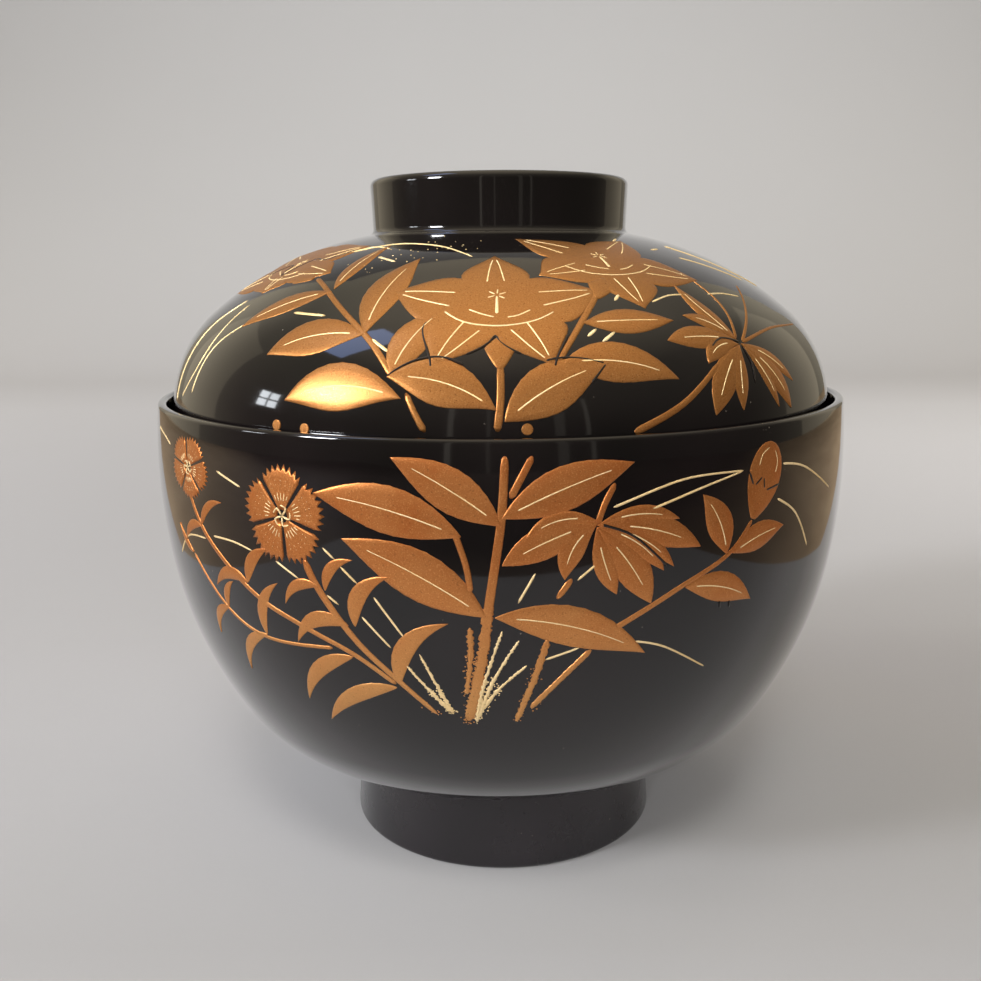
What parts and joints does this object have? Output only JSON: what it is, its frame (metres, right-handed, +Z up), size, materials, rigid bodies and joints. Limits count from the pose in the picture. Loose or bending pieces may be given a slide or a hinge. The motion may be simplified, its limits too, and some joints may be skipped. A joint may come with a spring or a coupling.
{
  "type": "lidded rice bowl",
  "caption": "Round lacquered wooden bowl on a foot ring, with a domed lid that drops inside its rim and has a ring to lift it by.",
  "frame": {"origin": "centre of the foot's resting face, at the bottom of the bowl", "axes": "+Z up along the axis both pieces are turned on; -Y towards the side whose decoration is meant to be seen"},
  "size_m": [0.122, 0.122, 0.118],
  "materials": {
    "black_lacquer": "gloss",
    "foot_lacquer": "satin",
    "wood": "matte",
    "cloth": "matte",
    "makie_gold": "satin"
  },
  "bodies": {
    "bowl": {"bowl_core": "wood", "bowl_rim_cloth": "cloth", "bowl_foot_cloth": "cloth", "bowl_outer_lacquer": "black_lacquer", "bowl_inner_lacquer": "black_lacquer", "bowl_foot_lacquer": "foot_lacquer", "bowl_underside_lacquer": "foot_lacquer"},
    "lid": {"lid_core": "wood", "lid_rim_cloth": "cloth", "lid_ring_cloth": "cloth", "lid_outer_lacquer": "black_lacquer", "lid_inner_lacquer": "black_lacquer", "lid_ring_lacquer": "black_lacquer", "lid_ring_floor_lacquer": "black_lacquer"}
  },
  "joints": [
    {"name": "lid_lift", "type": "slide", "parent": "bowl", "child": "lid", "axis": [0, 0, 1], "range_m": [0, 0.08]}
  ]
}
